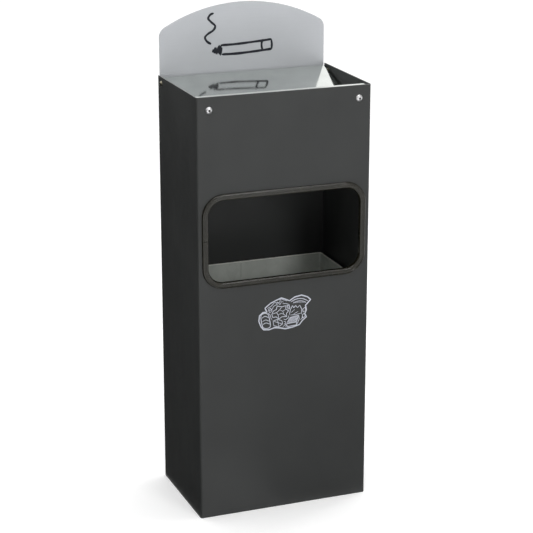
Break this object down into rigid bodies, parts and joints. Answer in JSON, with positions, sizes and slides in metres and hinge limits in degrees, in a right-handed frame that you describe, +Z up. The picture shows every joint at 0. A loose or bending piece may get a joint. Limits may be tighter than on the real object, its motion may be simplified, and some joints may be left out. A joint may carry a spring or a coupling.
{
  "type": "ashtray bin",
  "caption": "Tall sheet-metal litter bin with a wide trimmed mouth in front, a lift-out liner, a tipping ash tray on top and an arched sign plate behind.",
  "frame": {"origin": "on the ground, under the middle of the whole object's box", "axes": "+Z up, -Y out of the front with the mouth, +X to the right seen from the front; sign plate and wall side at +Y"},
  "size_m": [0.2544, 0.166, 0.695],
  "materials": {
    "body_paint": "anthracite fine-texture powder coat",
    "trim_rubber": "black grained edge profile",
    "sign_satin": "satin silver",
    "rivet_aluminium": "plain",
    "buffer_rubber": "matt black",
    "tray_polished": "polished stainless steel",
    "pin_steel": "plated steel, slightly warm",
    "bracket_zinc": "zinc plated",
    "screw_bright": "bright stainless steel",
    "liner_galvanised": "galvanised sheet with a soft spangle"
  },
  "bodies": {
    "bin": {"housing": "body_paint", "rear_panel": "body_paint", "floor_panel": "body_paint", "opening_trim": "trim_rubber", "sign_plate": "sign_satin", "sign_rivets": "rivet_aluminium", "wall_buffers": "buffer_rubber", "tray_pin_left": "pin_steel", "tray_pin_right": "pin_steel", "pin_push_nuts": "pin_steel", "rest_bracket_left": "bracket_zinc", "rest_bracket_right": "bracket_zinc", "rest_pads": "buffer_rubber", "front_screws": "screw_bright", "front_washers": "screw_bright", "front_nuts": "screw_bright"},
    "tray": {"ash_tray": "tray_polished"},
    "liner": {"liner_shell": "liner_galvanised", "liner_base": "liner_galvanised", "liner_rivets": "rivet_aluminium"}
  },
  "joints": [
    {"name": "tray_tip", "type": "hinge", "parent": "bin", "child": "tray", "pos_m": [0, 0.066, 0.591], "axis": [-1, 0, 0], "range_deg": [0, 110]},
    {"name": "liner_lift", "type": "slide", "parent": "bin", "child": "liner", "axis": [0, 0, 1], "range_m": [0, 0.22]}
  ]
}
